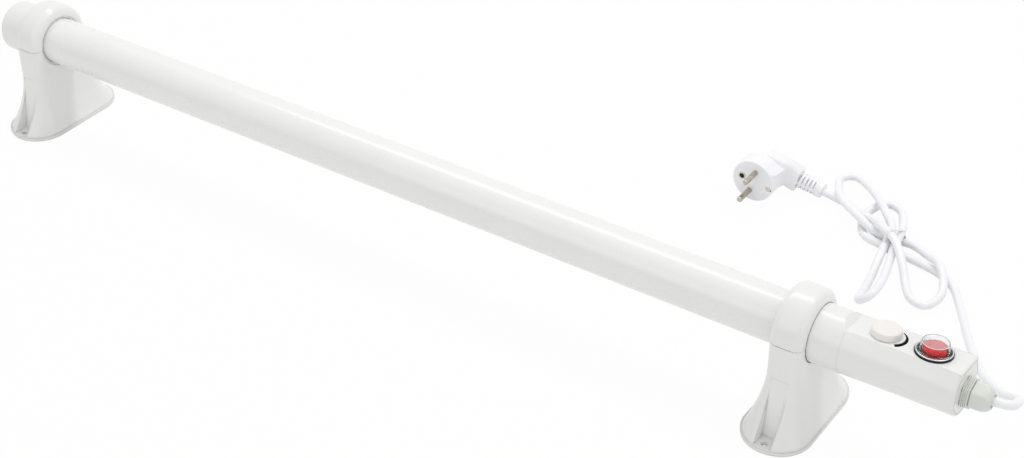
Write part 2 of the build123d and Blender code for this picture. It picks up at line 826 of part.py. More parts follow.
with BuildPart() as plug_body:
    with BuildSketch(plug_face):
        Circle(plug_radius)
    extrude(amount=plug_rim_depth)
    with BuildSketch(plug_face.offset(plug_rim_depth)):
        Circle(plug_radius)
    with BuildSketch(plug_face.offset(plug_depth - 6.0)):
        Circle(plug_radius * 0.74)
    with BuildSketch(plug_face.offset(plug_depth)):
        Circle(plug_radius * 0.5)
    loft()
    with BuildSketch(cable_plane):
        RectangleRounded(19.0, 27.0, 6.0)
    with BuildSketch(cable_plane.offset(plug_radius * 0.8)):
        RectangleRounded(17.5, 25.0, 6.0)
    with BuildSketch(cable_plane.offset(neck_reach)):
        RectangleRounded(15.0, 18.5, 6.0)
    loft()
    with BuildSketch(plug_face):
        Circle(insert_radius + seat_gap)
    extrude(amount=insert_depth, mode=Mode.SUBTRACT)
    with BuildSketch(plug_face):
        with Locations((clip_row, 0), (-clip_row, 0)):
            Rectangle(clip_thickness + 2.8, clip_width + 1.0)
    extrude(amount=clip_length + 1.0, mode=Mode.SUBTRACT)
    with BuildSketch(plug_face.offset(insert_depth)):
        with Locations((-earth_socket_offset, 0)):
            Circle(socket_outer + seat_gap)
    extrude(amount=earth_socket_depth - insert_depth, mode=Mode.SUBTRACT)
    with BuildSketch(plug_face.offset(insert_depth)):
        with Locations((0, pin_spacing / 2), (0, -pin_spacing / 2)):
            Circle(pin_root_diameter / 2 + seat_gap)
    extrude(amount=pin_root_depth - insert_depth, mode=Mode.SUBTRACT)

with BuildPart() as plug_insert:
    with BuildSketch(plug_face.offset(0.6)):
        Circle(insert_radius)
        with Locations((-earth_socket_offset, 0)):
            Circle(socket_outer + seat_gap, mode=Mode.SUBTRACT)
        with Locations((0, pin_spacing / 2), (0, -pin_spacing / 2)):
            Circle(pin_root_diameter / 2 + seat_gap, mode=Mode.SUBTRACT)
        with Locations((clip_row, 0), (-clip_row, 0)):
            Rectangle(clip_thickness + 2.8, clip_width + 1.0, mode=Mode.SUBTRACT)
    extrude(amount=insert_depth - 0.6)

with BuildPart() as plug_pins:
    with BuildSketch(plug_face):
        with Locations((0, pin_spacing / 2), (0, -pin_spacing / 2)):
            Circle(plug_pin_diameter / 2)
    extrude(amount=-plug_pin_length)
    fillet(plug_pins.faces().group_by(Axis.Y)[0].edges(), 1.8)
    # Narrower root that holds each pin in the plug
    with BuildSketch(plug_face):
        with Locations((0, pin_spacing / 2), (0, -pin_spacing / 2)):
            Circle(pin_root_diameter / 2)
    extrude(amount=pin_root_depth)

with BuildPart() as earth_clips:
    with BuildSketch(plug_face.offset(0.4)):
        with Locations((clip_row, 0), (-clip_row, 0)):
            Rectangle(clip_thickness, clip_width)
    extrude(amount=clip_length + 0.6)

with BuildPart() as earth_socket:
    with BuildSketch(plug_face):
        with Locations((-earth_socket_offset, 0)):
            Circle(socket_outer)
            Circle(earth_socket_bore / 2, mode=Mode.SUBTRACT)
    extrude(amount=earth_socket_depth)

# Strain relief: each row is cut by four windows that leave diagonal webs, then a plain collar
relief_start_radius = 6.9
relief_end_radius = 6.3
row_pitch = (relief_length - relief_collar - 1.6) / relief_rows
with BuildPart() as strain_relief:
    with BuildSketch(cable_plane.offset(neck_reach)):
        Circle(relief_start_radius)
    with BuildSketch(cable_plane.offset(neck_reach + relief_length)):
        Circle(relief_end_radius)
    loft()
    with BuildSketch(cable_plane.offset(neck_reach + relief_length - relief_collar)):
        Circle(relief_start_radius)
    extrude(amount=relief_collar)
    fillet(strain_relief.faces().sort_by(Axis((0, 0, 0), plug_out))[-1].edges(), 1.2)
    for row in range(relief_rows):
        with BuildSketch(cable_plane.offset(neck_reach + 1.6 + row * row_pitch)):
            Circle(relief_start_radius + 1.0)
            Circle(cord_radius + 1.3, mode=Mode.SUBTRACT)
            for turn in (45, -45):
                Rectangle(relief_web, 4 * relief_start_radius, rotation=turn, mode=Mode.SUBTRACT)
        extrude(amount=row_pitch * 0.45, mode=Mode.SUBTRACT)

# Mains cord: free stretch, tied hank and tail, each one tube of straight runs and tangent arcs


def bend_radii(points):
    """Largest radii for the inner points that leave a tenth of each shorter run straight."""
    radii = []
    for before, here, after in zip(points, points[1:], points[2:]):
        back = Vector(*before) - Vector(*here)
        ahead = Vector(*after) - Vector(*here)
        turn = math.radians(180 - back.get_angle(ahead))
        radii.append(0.45 * min(back.length, ahead.length) / math.tan(turn / 2))
    return radii


def halfway(first, second):
    """Point in the middle of one run."""
    return tuple((a + b) / 2 for a, b in zip(first, second))


# Places beside the right bracket, heights as a share of the drop from the gland to the floor
drop = gland_height - cord_radius
free_places = [
    (152.2, 22.6, 0.858), (142.1, 45.6, 0.606), (126.6, 68.7, 0.310), (100.6, 97.1, 0.127),
    (76.6, 132.8, 0.041), (52.8, 173.2, 0.003), (30.7, 204.6, 0.026),
]
free_points = [
    (right_x + place, row, cord_radius + share * drop) for place, row, share in free_places
]
cord_start = (gland_tip - 14.6, 0, gland_height)
cord_bend = (gland_tip + 11.7, 0, gland_height)

# Levels of the tied bundle count cord diameters above a strand that lies on the floor
hank_places = [
    (-19.8, 214.9, 0.07), (-38.3, 214.9, 0.38), (-55.4, 222.3, 0.00), (-64.5, 241.4, 0.03),
    (-64.6, 260.0, 0.00), (-57.1, 275.9, 0.03), (-41.3, 271.0, 0.09), (-32.2, 251.0, 0.53),
    (-24.2, 232.7, 1.74), (-21.1, 208.0, 1.41), (-14.4, 180.5, 0.46), (-8.3, 155.1, 0.88),
    (-8.0, 135.2, 0.97), (-22.2, 135.2, 0.03), (-22.5, 154.2, 0.00), (-24.5, 178.4, 0.16),
    (-28.2, 204.7, 1.35), (-31.2, 230.3, 1.34), (-46.6, 248.8, 1.37), (-63.0, 267.0, 1.32),
    (-83.0, 289.6, 0.25), (-97.8, 296.9, 0.16), (-107.4, 287.2, 0.00), (-99.1, 268.1, 0.72),
    (-89.8, 249.9, 1.46), (-76.8, 238.7, 1.47), (-63.3, 229.5, 1.75), (-47.7, 224.6, 0.84),
    (-33.8, 226.0, 0.15), (-13.5, 228.6, 0.57), (7.0, 218.2, 0.56), (16.6, 208.3, 1.56),
    (28.1, 194.9, 1.25), (35.0, 177.2, 0.38), (29.1, 159.0, 0.24), (16.0, 158.3, 0.65),
    (5.4, 174.5, 0.37), (-4.9, 189.2, 1.59), (-19.4, 207.3, 2.54), (-34.9, 218.1, 2.41),
]
tail_places = [
    (-49.1, 233.4, 1.47), (-65.7, 238.2, 1.06), (-76.2, 249.1, 1.07),
]
hank_points = [
    (right_x + place, row, cord_radius + level * cord_diameter) for place, row, level in hank_places
]
tail_points = [
    (right_x + place, row, cord_radius + level * cord_diameter) for place, row, level in tail_places
]
relief_end = cable_plane.offset(neck_reach + relief_length).origin
relief_lead = (relief_end.Z - cord_radius) / math.sin(roll)
relief_approach = relief_end + Vector(*plug_out) * relief_lead
tail_end = (relief_end.X, relief_end.Y, relief_end.Z)
tail_lead = (relief_approach.X, relief_approach.Y, cord_radius)

hank_start = halfway(free_points[-1], hank_points[0])
hank_end = halfway(hank_points[-1], tail_points[0])
free_route = [cord_start, cord_bend] + free_points + [hank_start]
hank_route = [hank_start] + hank_points + [hank_end]
tail_route = [hank_end] + tail_points + [tail_lead, tail_end]

with BuildPart() as power_cord:
    with BuildLine() as free_line:
        FilletPolyline(*free_route, radius=bend_radii(free_route))
    with BuildSketch(Plane(origin=free_line.line @ 0, z_dir=free_line.line % 0)):
        Circle(cord_radius)
    sweep()

with BuildPart() as cord_hank:
    with BuildLine() as hank_line:
        FilletPolyline(*hank_route, radius=bend_radii(hank_route))
    with BuildSketch(Plane(origin=hank_line.line @ 0, z_dir=hank_line.line % 0)):
        Circle(cord_radius)
    sweep()

with BuildPart() as cord_tail:
    with BuildLine() as tail_line:
        FilletPolyline(*tail_route, radius=bend_radii(tail_route))
    with BuildSketch(Plane(origin=tail_line.line @ 0, z_dir=tail_line.line % 0)):
        Circle(cord_radius)
    sweep()

# Tie: one band round all five strands at the waist of the hank
tie_plane = Plane(origin=(right_x - 28.0, 221.0, 0), x_dir=(1, 1, 0), z_dir=(1, -1, 0))
tie_outline = [
    (-13.0, 1.2), (14.6, 1.2), (17.0, 6.2), (15.8, 11.9), (11.0, 17.5),
    (-0.4, 23.8), (-7.0, 23.8), (-8.9, 22.8), (-12.0, 18.7), (-14.8, 5.0),
]
with BuildPart() as cord_tie:
    with BuildSketch(tie_plane.offset(-tie_width / 2)):
        with BuildLine():
            Polyline(*tie_outline, close=True)
        make_face()
        offset(amount=tie_thickness)
        with BuildLine():
            Polyline(*tie_outline, close=True)
        make_face(mode=Mode.SUBTRACT)
    extrude(amount=tie_width)

# Checks on the cord: radii, volume against section times length, and the least gap to itself
sample_step = 2.0
cord_samples = []
for label, line, route, tube in (
    ("power_cord", free_line, free_route, power_cord),
    ("cord_hank", hank_line, hank_route, cord_hank),
    ("cord_tail", tail_line, tail_route, cord_tail),
):
    wire = line.wires()[0]
    length = wire.length
    section_volume = math.pi * cord_radius**2 * length
    radii = [round(radius, 1) for radius in bend_radii(route)]
    print(label, "radii", radii)
    print(label, "length", round(length, 1), "volume ratio", round(tube.part.volume / section_volume, 4))
    count = math.ceil(length / sample_step)
    cord_samples += [wire @ (step / count) for step in range(count)]
apart = math.ceil(22.0 / sample_step)
least_gap = min(
    (cord_samples[first] - cord_samples[second]).length
    for first in range(len(cord_samples))
    for second in range(first + apart, len(cord_samples))
) - cord_diameter
print("least gap of the cord to itself", round(least_gap, 2))

pieces = {
    "heating_tube": heating_tube,
    "element_hairpin": element_hairpin,
    "element_pins": element_pins,
    "left_element_support": left_element_support,
    "middle_element_support": middle_element_support,
    "right_element_support": right_element_support,
    "element_bush": element_bush,
    "thermal_cutout": thermal_cutout,
    "end_cap": end_cap,
    "left_pedestal": left_pedestal,
    "left_clamp_cap": left_clamp_cap,
    "right_pedestal": right_pedestal,
    "right_clamp_cap": right_clamp_cap,
    "clamp_screws": clamp_screws,
    "control_housing": control_housing,
    "end_plate": end_plate,
    "thermostat_body": thermostat_body,
    "thermostat_nut": thermostat_nut,
    "thermostat_knob": thermostat_knob,
    "thermostat_shaft": thermostat_shaft,
    "switch_body": switch_body,
    "switch_blades": switch_blades,
    "switch_rocker": switch_rocker,
    "switch_cover": switch_cover,
    "switch_ring": switch_ring,
    "gland_washer": gland_washer,
    "gland_body": gland_body,
    "gland_locknut": gland_locknut,
    "gland_seal": gland_seal,
    "gland_dome_nut": gland_dome_nut,
    "terminal_block": terminal_block,
    "terminal_screws": terminal_screws,
    "plug_body": plug_body,
    "plug_insert": plug_insert,
    "plug_pins": plug_pins,
    "earth_clips": earth_clips,
    "earth_socket": earth_socket,
    "strain_relief": strain_relief,
    "power_cord": power_cord,
    "cord_hank": cord_hank,
    "cord_tail": cord_tail,
    "cord_tie": cord_tie,
}
for name, piece in pieces.items():
    piece.part.label = name
    export_step(piece.part, f"parts/{name}.step")
    print(name, len(piece.part.solids()), round(piece.part.volume, 1))
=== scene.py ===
"""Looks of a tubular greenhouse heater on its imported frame. Metres, +X along the tube, +Z up."""

import math

import bmesh
import bpy
from mathutils import Matrix, Vector
from mathutils.geometry import convex_hull_2d


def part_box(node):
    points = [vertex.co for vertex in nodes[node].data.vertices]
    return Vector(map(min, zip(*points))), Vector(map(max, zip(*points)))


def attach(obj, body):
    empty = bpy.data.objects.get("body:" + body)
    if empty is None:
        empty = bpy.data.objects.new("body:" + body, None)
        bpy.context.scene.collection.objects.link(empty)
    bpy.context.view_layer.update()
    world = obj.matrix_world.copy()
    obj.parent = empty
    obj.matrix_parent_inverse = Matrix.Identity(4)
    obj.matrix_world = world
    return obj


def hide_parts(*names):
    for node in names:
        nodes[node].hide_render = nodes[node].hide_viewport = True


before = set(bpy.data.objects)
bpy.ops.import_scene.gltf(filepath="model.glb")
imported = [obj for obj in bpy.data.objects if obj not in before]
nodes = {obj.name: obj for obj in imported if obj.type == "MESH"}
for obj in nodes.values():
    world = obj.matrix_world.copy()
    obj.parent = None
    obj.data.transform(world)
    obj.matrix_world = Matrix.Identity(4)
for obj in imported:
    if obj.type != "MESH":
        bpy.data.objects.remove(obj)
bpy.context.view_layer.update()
MM = 0.001

# Camera of the photograph, found from the heater's own proportions
CAMERA_PLACE = Vector((0.7446, -0.9676, 0.8972))
CAMERA_RIGHT = Vector((0.8248, 0.5654, -0.0085))
CAMERA_DOWN = Vector((0.3207, -0.4802, -0.8164))
CAMERA_LENS = 66.38
SENSOR_WIDTH = 36.0

# Cord: its route is chosen to follow the photograph
CORD_DIAMETER = 0.0068
CORD_ROUTE = [
    # From the gland along the floor to the tie
    (0.4464, 0, 0.076), (0.4727, 0, 0.076), (0.4722, 0.0226, 0.0657), (0.4621, 0.0456, 0.0474),
    (0.4466, 0.0687, 0.0259), (0.4206, 0.0971, 0.0126), (0.3966, 0.1328, 0.0064),
    (0.3728, 0.1732, 0.0036), (0.3507, 0.2046, 0.0053),
    # Small loop beyond the tie
    (0.3002, 0.2149, 0.0039), (0.2817, 0.2149, 0.006), (0.2646, 0.2223, 0.0034),
    (0.2555, 0.2414, 0.0036), (0.2554, 0.26, 0.0034), (0.2629, 0.2759, 0.0036),
    (0.2787, 0.271, 0.004), (0.2878, 0.251, 0.007), (0.2958, 0.2327, 0.0152),
    # Narrow loop that points towards the heater, one strand above the other
    (0.2989, 0.208, 0.013), (0.3058, 0.1805, 0.0085), (0.3102, 0.1625, 0.0116),
    (0.3118, 0.1484, 0.0136), (0.3120, 0.1420, 0.0138), (0.3086, 0.1375, 0.0108),
    (0.3039, 0.1375, 0.0066), (0.3005, 0.1420, 0.0036), (0.2999, 0.1484, 0.0034),
    (0.2990, 0.1600, 0.0034), (0.2958, 0.1784, 0.0045),
    # Long loop on the plug's side
    (0.2918, 0.2047, 0.0126), (0.2888, 0.2303, 0.0125), (0.2734, 0.2488, 0.0127),
    (0.257, 0.267, 0.0124), (0.237, 0.2896, 0.0051), (0.2222, 0.2969, 0.0045),
    (0.2126, 0.2872, 0.0034), (0.2209, 0.2681, 0.0083), (0.2302, 0.2499, 0.0133),
    (0.2432, 0.2387, 0.0134), (0.2567, 0.2295, 0.0153), (0.2723, 0.2246, 0.0091),
    (0.2862, 0.226, 0.0044),
    # Wide loop beside the free stretch
    (0.3065, 0.2286, 0.0073), (0.327, 0.2182, 0.0072), (0.3366, 0.2083, 0.014),
    (0.3481, 0.1949, 0.0119), (0.355, 0.1772, 0.006), (0.3491, 0.159, 0.005),
    (0.336, 0.1583, 0.0078), (0.3254, 0.1745, 0.0059), (0.3151, 0.1892, 0.0142),
    # Back through the tie and into the plug
    (0.3006, 0.2073, 0.0207), (0.2851, 0.2181, 0.0198), (0.2709, 0.2334, 0.0134),
    (0.2543, 0.2382, 0.0106), (0.2400, 0.2515, 0.0064), (0.2262, 0.2558, 0.0050),
    (0.2126, 0.2550, 0.0082),
]


def place_camera():
    """Camera with the photograph's place, angle and lens."""
    back = CAMERA_RIGHT.cross(-CAMERA_DOWN).normalized()
    up = back.cross(CAMERA_RIGHT).normalized()
    right = up.cross(back)
    data = bpy.data.cameras.new("camera")
    data.lens = CAMERA_LENS
    data.sensor_width = SENSOR_WIDTH
    data.sensor_fit = "HORIZONTAL"
    data.clip_start = 0.01
    camera = bpy.data.objects.new("camera", data)
    turn = Matrix((right, up, back)).transposed().to_4x4()
    camera.matrix_world = Matrix.Translation(CAMERA_PLACE) @ turn
    bpy.context.scene.collection.objects.link(camera)
    bpy.context.scene.camera = camera


def scaled(colour, share):
    """A lighter or darker share of a colour."""
    return tuple(min(1.0, channel * share) for channel in colour)


class Shader:
    """A Principled material that is built node by node."""

    def __init__(self, name):
        self.material = bpy.data.materials.new(name)
        self.material.use_nodes = True
        self.tree = self.material.node_tree
        self.principled = self.tree.nodes["Principled BSDF"]
        self.place = self.tree.nodes.new("ShaderNodeTexCoord").outputs["Object"]

    def constants(self, **values):
        """Values that are the same all over the surface, on the shader's own sockets."""
        for name, value in values.items():
            socket = "IOR" if name == "ior" else name.replace("_", " ").title()
            self.principled.inputs[socket].default_value = value

    def noise(self, scale, detail, place=None):
        """Soft noise; scale is its number of cells in a metre."""
        texture = self.tree.nodes.new("ShaderNodeTexNoise")
        texture.inputs["Scale"].default_value = scale
        texture.inputs["Detail"].default_value = detail
        self.tree.links.new(place or self.place, texture.inputs["Vector"])
        return texture.outputs["Fac"]

    def stretched(self, scale):
        """Object coordinates scaled by a different number along each axis."""
        mapping = self.tree.nodes.new("ShaderNodeMapping")
        mapping.inputs["Scale"].default_value = scale
        self.tree.links.new(self.place, mapping.inputs["Vector"])
        return mapping.outputs["Vector"]

    def ranged(self, value, low, high, start=0.3, end=0.7):
        """Maps a texture's start to end onto low to high."""
        node = self.tree.nodes.new("ShaderNodeMapRange")
        node.inputs["From Min"].default_value = start
        node.inputs["From Max"].default_value = end
        node.inputs["To Min"].default_value = low
        node.inputs["To Max"].default_value = high
        self.tree.links.new(value, node.inputs["Value"])
        return node.outputs["Result"]

    def mixed(self, value, first, second):
        """Colour that goes from first to second with value."""
        node = self.tree.nodes.new("ShaderNodeMix")
        node.data_type = "RGBA"
        node.inputs["A"].default_value = (*first, 1)
        node.inputs["B"].default_value = (*second, 1)
        self.tree.links.new(value, node.inputs["Factor"])
        return node.outputs["Result"]

    def height(self, axis, low, high):
        """0 to 1 between two places along one axis."""
        split = self.tree.nodes.new("ShaderNodeSeparateXYZ")
        self.tree.links.new(self.place, split.inputs["Vector"])
        return self.ranged(split.outputs[axis], 0.0, 1.0, low, high)

    def cloudy_colour(self, colour, low, high, scale, detail):
        """Base colour that drifts between two shares of itself."""
        cloud = self.ranged(self.noise(scale, detail), 0.0, 1.0)
        self.colour(self.mixed(cloud, scaled(colour, low), scaled(colour, high)))

    def colour(self, output):
        self.tree.links.new(output, self.principled.inputs["Base Color"])

    def roughness(self, output):
        self.tree.links.new(output, self.principled.inputs["Roughness"])

    def bump(self, output, distance, soft_edge=0.0):
        """Fine relief, over edges that look rounded by soft_edge."""
        node = self.tree.nodes.new("ShaderNodeBump")
        node.inputs["Distance"].default_value = distance
        if soft_edge:
            edge = self.tree.nodes.new("ShaderNodeBevel")
            edge.inputs["Radius"].default_value = soft_edge
            self.tree.links.new(edge.outputs["Normal"], node.inputs["Normal"])
        self.tree.links.new(output, node.inputs["Height"])
        self.tree.links.new(node.outputs["Normal"], self.principled.inputs["Normal"])


def moulded(name, colour, gloss, grain=0.0012, cloud=0.006, soft_edge=0.0, **values):
    """Moulded plastic: faintly cloudy colour, uneven gloss and a very fine skin."""
    shader = Shader(name)
    shader.cloudy_colour(colour, 1 - cloud, 1 + cloud, 16.0, 1.0)
    shader.roughness(shader.ranged(shader.noise(45.0, 1.0), gloss * 0.94, gloss * 1.06))
    shader.bump(shader.noise(1300.0, 2.0), grain * MM, soft_edge * MM)
    shader.constants(**values)
    return shader.material


def enamelled(name, colour, gloss):
    """Powder coat on the tube: soft orange peel under a clear top surface."""
    shader = Shader(name)
    shader.cloudy_colour(colour, 0.988, 1.008, 22.0, 3.0)
    shader.roughness(shader.ranged(shader.noise(160.0, 2.0), gloss * 0.85, gloss * 1.15))
    shader.bump(shader.noise(620.0, 2.0), 0.003 * MM)
    shader.constants(coat_weight=0.35, coat_roughness=0.12)
    return shader.material


def metal(name, colour, gloss, streaks):
    """Bare metal with fine drawn streaks and a little tarnish."""
    shader = Shader(name)
    shader.cloudy_colour(colour, 0.78, 1.08, 240.0, 5.0)
    lines = shader.noise(1.0, 3.0, shader.stretched(streaks))
    shader.roughness(shader.ranged(lines, gloss * 0.7, gloss * 1.4))
    shader.bump(lines, 0.002 * MM)
    shader.constants(metallic=1.0)
    return shader.material


def rocker_red():
    """Translucent red with painted light: paler towards the top, where the light comes through, and
    deep red lower down.
    """
    low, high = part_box("switch_rocker")
    shader = Shader("rocker_red")
    painted_light_from = low.z + 0.4 * (high.z - low.z)
    # painted light: deep red low on the rocker's sides, pale red at its top
    shader.colour(shader.mixed(
        shader.height("Z", painted_light_from, high.z), (0.45, 0.0, 0.003), (0.74, 0.04, 0.04)
    ))
    shader.roughness(shader.ranged(shader.noise(300.0, 2.0), 0.2, 0.3))
    shader.bump(shader.noise(900.0, 2.0), 0.001 * MM)
    shader.constants(ior=1.22)
    return shader.material


def clear_plastic():
    """Thin clear cap over the switch."""
    shader = Shader("clear_plastic")
    shader.colour(shader.mixed(shader.noise(60.0, 2.0), (0.97, 0.985, 0.98), (1.0, 1.0, 1.0)))
    shader.roughness(shader.ranged(shader.noise(180.0, 2.0), 0.02, 0.06))
    shader.constants(transmission_weight=1.0, ior=1.22)
    return shader.material


WHITE = moulded("white_plastic", (0.86, 0.86, 0.85), 0.24, soft_edge=0.9)
SOFT_WHITE = moulded("soft_white_plastic", (0.86, 0.86, 0.85), 0.24, soft_edge=2.2)
TUBE = enamelled("tube_enamel", (0.87, 0.875, 0.86), 0.3)
KNOB = moulded("knob_cream", (0.885, 0.845, 0.82), 0.34)
BLACK = moulded("black_plastic", (0.012, 0.012, 0.014), 0.22, ior=1.25)
INK = moulded("black_ink", (0.006, 0.006, 0.007), 0.6, ior=1.12)
RING = moulded("bright_bead", (0.64, 0.66, 0.66), 0.14, metallic=0.9)
HAZE = moulded("hazy_cap", (0.97, 0.97, 0.97), 0.05, transmission_weight=0.86, ior=1.25)
# painted shade: a dark grey for plates put where gaps lie in shade
PAINTED_SHADE = moulded("seam_shadow", (0.20, 0.20, 0.195), 0.6)
RUBBER = moulded("seal_rubber", (0.03, 0.03, 0.032), 0.6, grain=0.006)
GLAND = moulded("gland_nylon", (0.72, 0.735, 0.69), 0.26, cloud=0.015)
CORD = moulded("cord_pvc", (0.93, 0.93, 0.955), 0.34, grain=0.002, cloud=0.005)
TIE = moulded("tie_white", (0.86, 0.86, 0.85), 0.4)
CERAMIC = moulded("cream_insulator", (0.75, 0.70, 0.60), 0.6, grain=0.006)
STEEL = metal("plain_steel", (0.55, 0.55, 0.56), 0.3, (2500.0, 2500.0, 60.0))
SHEATH = metal("dull_steel", (0.42, 0.41, 0.40), 0.42, (40.0, 1800.0, 1800.0))
BRASS = metal("bright_metal", (0.66, 0.58, 0.47), 0.2, (1800.0, 90.0, 1800.0))
PIN = metal("pin_metal", (0.52, 0.47, 0.40), 0.24, (1800.0, 90.0, 1800.0))
ROCKER = rocker_red()
CLEAR = clear_plastic()

NODE_MATERIALS = {
    "heating_tube": TUBE, "element_hairpin": SHEATH, "element_pins": STEEL,
    "left_element_support": STEEL, "middle_element_support": STEEL, "right_element_support": STEEL,
    "element_bush": CERAMIC, "thermal_cutout": STEEL, "end_cap": WHITE,
    "left_pedestal": SOFT_WHITE, "right_pedestal": SOFT_WHITE,
    "left_clamp_cap": WHITE, "right_clamp_cap": WHITE, "clamp_screws": STEEL,
    "control_housing": SOFT_WHITE, "end_plate": WHITE,
    "thermostat_body": BLACK, "thermostat_nut": BRASS,
    "thermostat_knob": KNOB, "thermostat_shaft": STEEL,
    "switch_body": BLACK, "switch_blades": BRASS, "switch_rocker": ROCKER,
    "switch_cover": CLEAR, "switch_ring": RING,
    "gland_washer": GLAND, "gland_body": GLAND, "gland_locknut": GLAND,
    "gland_seal": RUBBER, "gland_dome_nut": GLAND,
    "terminal_block": CERAMIC, "terminal_screws": BRASS,
    "plug_body": CORD, "plug_insert": CORD, "plug_pins": PIN, "earth_clips": BRASS,
    "earth_socket": BRASS, "strain_relief": CORD, "power_cord": CORD, "cord_hank": CORD,
    "cord_tail": CORD, "cord_tie": TIE,
}


def dress_nodes():
    """Gives every CAD node its material."""
    for name, finish in NODE_MATERIALS.items():
        mesh = nodes[name].data
        mesh.materials.clear()
        mesh.materials.append(finish)


# Rolled frame of the control housing: its flat leans back about the tube axis
AXIS_HEIGHT = 78.5
GLAND_HEIGHT = 76.0
HOUSING_ROLL = math.radians(6.5)
FLAT_HEIGHT = 17.7
KNOB_X = 380.0
SWITCH_X = 415.0
HEXAGON_CORNER = 49.5


def flat_frame(x, height=0.0):
    """Frame on the tube axis at x, its Z square to the housing's flat, raised by height."""
    axis = Matrix.Translation((x * MM, 0, AXIS_HEIGHT * MM))
    return axis @ Matrix.Rotation(-HOUSING_ROLL, 4, "X") @ Matrix.Translation((0, 0, height * MM))


def along_frame(x, height):
    """Frame at x and height whose Z points along the tube."""
    return Matrix.Translation((x * MM, 0, height * MM)) @ Matrix.Rotation(math.pi / 2, 4, "Y")


def rounded_line(points, steps=5):
    """Line through (x, y, radius) points, its corners rounded by those radii."""
    line = []
    for index, (x, y, radius) in enumerate(points):
        here = Vector((x, y))
        if radius == 0:
            line.append(here)
            continue
        back = (Vector(points[index - 1][:2]) - here).normalized()
        ahead = (Vector(points[(index + 1) % len(points)][:2]) - here).normalized()
        half = back.angle(ahead) / 2
        centre = here + (back + ahead).normalized() * radius / math.sin(half)
        start = here + back * radius / math.tan(half) - centre
        end = here + ahead * radius / math.tan(half) - centre
        for step in range(steps + 1):
            share = step / steps
            line.append(centre + (start * (1 - share) + end * share).normalized() * radius)
    return line


def hexagon_reach(angle):
    """Reach of the cable gland's hexagon over half its flats, its corners rounded."""
    corner_reach = 1.115
    beside_flat = (math.degrees(angle) - HEXAGON_CORNER) % 60 - 30
    return min(1 / math.cos(math.radians(beside_flat)), corner_reach)


def join_rings(form, rings):
    """Faces between each ring of vertices and the next; a pole repeats one vertex."""
    count = len(rings[0])
    for first, second in zip(rings, rings[1:]):
        for step in range(count):
            after = (step + 1) % count
            corners = dict.fromkeys((first[step], first[after], second[after], second[step]))
            if len(corners) > 2:
                form.faces.new(list(corners))


def turned(profile, steps=96):
    """Form of a profile of (radius, height) points in millimetres, turned about Z.

    A third number is the share of a hexagon in the outline at that height."""
    pole = 0.001
    form = bmesh.new()
    rings = []
    for radius, height, *hexagon in profile:
        if radius < pole:
            rings.append([form.verts.new((0, 0, height * MM))] * steps)
            continue
        share = hexagon[0] if hexagon else 0
        ring = []
        for step in range(steps):
            angle = 2 * math.pi * step / steps
            reach = radius * MM * (1 - share + share * hexagon_reach(angle))
            x = reach * math.cos(angle)
            y = reach * math.sin(angle)
            ring.append(form.verts.new((x, y, height * MM)))
        rings.append(ring)
    join_rings(form, rings)
    bmesh.ops.recalc_face_normals(form, faces=form.faces)
    return form


def ring_line(profile):
    """Closed profile for turned()."""
    return profile + profile[:1]


def bead_line(radius, height, half, steps):
    """Closed round profile for turned(), half its thickness about (radius, height)."""
    line = []
    for step in range(steps):
        angle = 2 * math.pi * step / steps
        line.append((radius + half * math.cos(angle), height + half * math.sin(angle)))
    return ring_line(line)


def rectangle(left, low, right, high):
    """Corners of a rectangle, counterclockwise."""
    return [(left, low), (right, low), (right, high), (left, high)]


def prism(outline, low, high, edge):
    """Form of an outline in millimetres raised from low to high, its edges rounded."""
    form = bmesh.new()
    bottom = form.faces.new([form.verts.new((x * MM, y * MM, low * MM)) for x, y in outline])
    raised = bmesh.ops.extrude_face_region(form, geom=[bottom])["geom"]
    tops = [item for item in raised if isinstance(item, bmesh.types.BMVert)]
    bmesh.ops.translate(form, verts=tops, vec=(0, 0, (high - low) * MM))
    bmesh.ops.recalc_face_normals(form, faces=form.faces)
    if edge:
        edges = list(form.edges)
        bmesh.ops.bevel(form, geom=edges, offset=edge * MM, segments=3, affect="EDGES", profile=0.5)
    return form


def joined(forms):
    """One form of several, each still a shell of its own."""
    whole = bmesh.new()
    for form in forms:
        mesh = bpy.data.meshes.new("part")
        form.to_mesh(mesh)
        form.free()
        whole.from_mesh(mesh)
        bpy.data.meshes.remove(mesh)
    return whole


def add_piece(name, form, frame_of_piece, finish, body="heater", sharp=40):
    """Puts a form in its frame as a smooth piece that rides on a body."""
    form.transform(frame_of_piece)
    mesh = bpy.data.meshes.new(name)
    form.to_mesh(mesh)
    form.free()
    mesh.shade_smooth()
    mesh.set_sharp_from_angle(angle=math.radians(sharp))
    mesh.materials.append(finish)
    piece = bpy.data.objects.new(name, mesh)
    bpy.context.scene.collection.objects.link(piece)
    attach(piece, body)
    return piece


def make_knob():
    """Round puck with a soft upper edge and a faintly sunk top disc."""
    gap = 0.3
    hollow = 2.3
    height = 5.1
    foot_radius = 10.9
    top_radius = 10.5
    disc_radius = 7.8
    base = FLAT_HEIGHT + gap
    top = base + height
    profile = rounded_line([
        (0, base + hollow, 0), (disc_radius, base + hollow, 0), (disc_radius, base, 0),
        (foot_radius, base, 0.3), (top_radius, top, 1.4),
        (disc_radius + 0.3, top + 0.2, 0.3), (disc_radius, top, 0.3), (0, top + 0.3, 0),
    ])
    place = flat_frame(KNOB_X)
    knob = add_piece("knob_puck", turned(profile), place, KNOB, body="knob")
    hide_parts("thermostat_knob")


